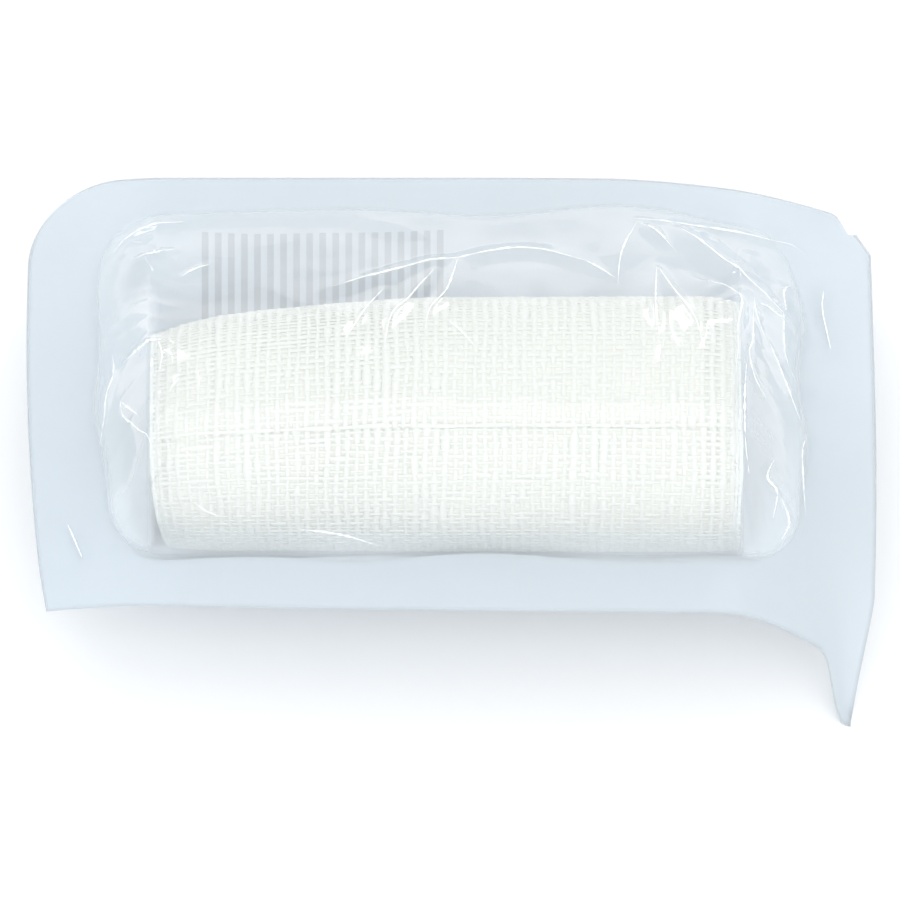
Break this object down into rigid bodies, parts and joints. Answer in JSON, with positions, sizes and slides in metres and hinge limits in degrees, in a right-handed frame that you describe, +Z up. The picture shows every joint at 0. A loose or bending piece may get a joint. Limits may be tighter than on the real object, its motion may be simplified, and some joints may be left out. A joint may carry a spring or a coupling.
{
  "type": "conforming bandage in a peel pouch",
  "caption": "Rolled gauze conforming bandage sealed in a clear-front, paper-back peel pouch, lying on its back with one corner of the pouch drooping.",
  "frame": {"origin": "on the table, under the middle of the pouch's box", "axes": "+X along the roll and the pouch's long side, to the right in the picture; +Y away from the viewer; +Z up, out through the clear film"},
  "size_m": [0.11, 0.0741, 0.033],
  "materials": {
    "gauze": "white crinkled open-weave gauze",
    "film": "clear wrinkled gloss film",
    "paper": "smooth translucent pouch paper"
  },
  "bodies": {
    "root": {"gauze_roll": "gauze", "film_cover": "film", "paper_backing": "paper"}
  },
  "joints": []
}
